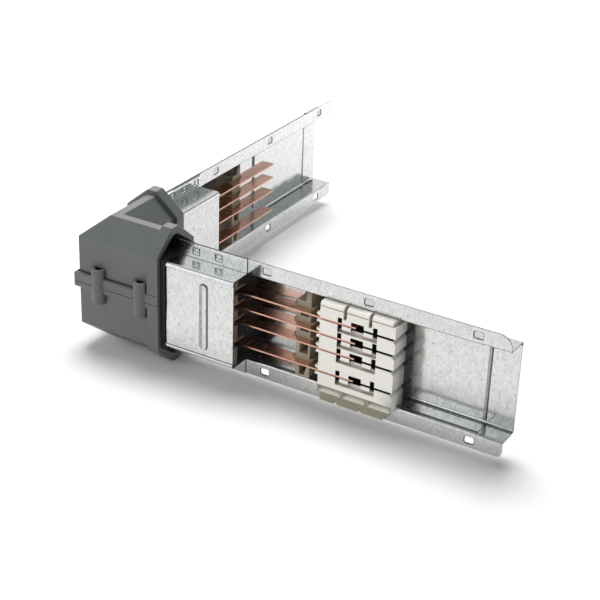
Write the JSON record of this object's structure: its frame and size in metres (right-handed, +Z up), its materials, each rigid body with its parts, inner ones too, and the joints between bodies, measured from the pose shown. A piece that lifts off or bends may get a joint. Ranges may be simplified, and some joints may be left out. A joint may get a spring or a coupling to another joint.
{
  "type": "busway elbow",
  "caption": "Flat right-angle elbow of plug-in busbar trunking: two open galvanised arms with copper bars, a grey corner housing and a white joint block on one arm.",
  "frame": {"origin": "centre of the bounding box at its bottom, on the floor under the corner housing's collars", "axes": "+Z up, +X along the arm with the joint block away from the corner, +Y along the other arm away from the corner"},
  "size_m": [0.363, 0.363, 0.115],
  "materials": {
    "galvanised_steel": "hot-dip galvanised sheet, fine spangle, satin",
    "copper": "bare drawn copper bar, slightly dulled",
    "spacer_plastic": "moulded, matt",
    "comb_plastic": "moulded, matt",
    "joint_plastic": "moulded, light texture",
    "housing_plastic": "moulded, fine texture",
    "seal_rubber": "soft black sealing strip"
  },
  "bodies": {
    "root": {"arm_a_long_shell": "galvanised_steel", "arm_a_cover": "galvanised_steel", "arm_b_long_shell": "galvanised_steel", "arm_b_cover": "galvanised_steel", "busbar_1": "copper", "busbar_2": "copper", "busbar_3": "copper", "busbar_4": "copper", "arm_a_bar_spacer": "spacer_plastic", "arm_b_bar_spacer": "spacer_plastic", "arm_a_mouth_comb": "comb_plastic", "arm_b_mouth_comb": "comb_plastic", "joint_block": "joint_plastic", "corner_housing_upper": "housing_plastic", "corner_housing_lower": "housing_plastic", "arm_a_seal_front": "seal_rubber", "arm_a_seal_back": "seal_rubber", "arm_b_seal_inner": "seal_rubber", "arm_b_seal_outer": "seal_rubber"}
  },
  "joints": []
}
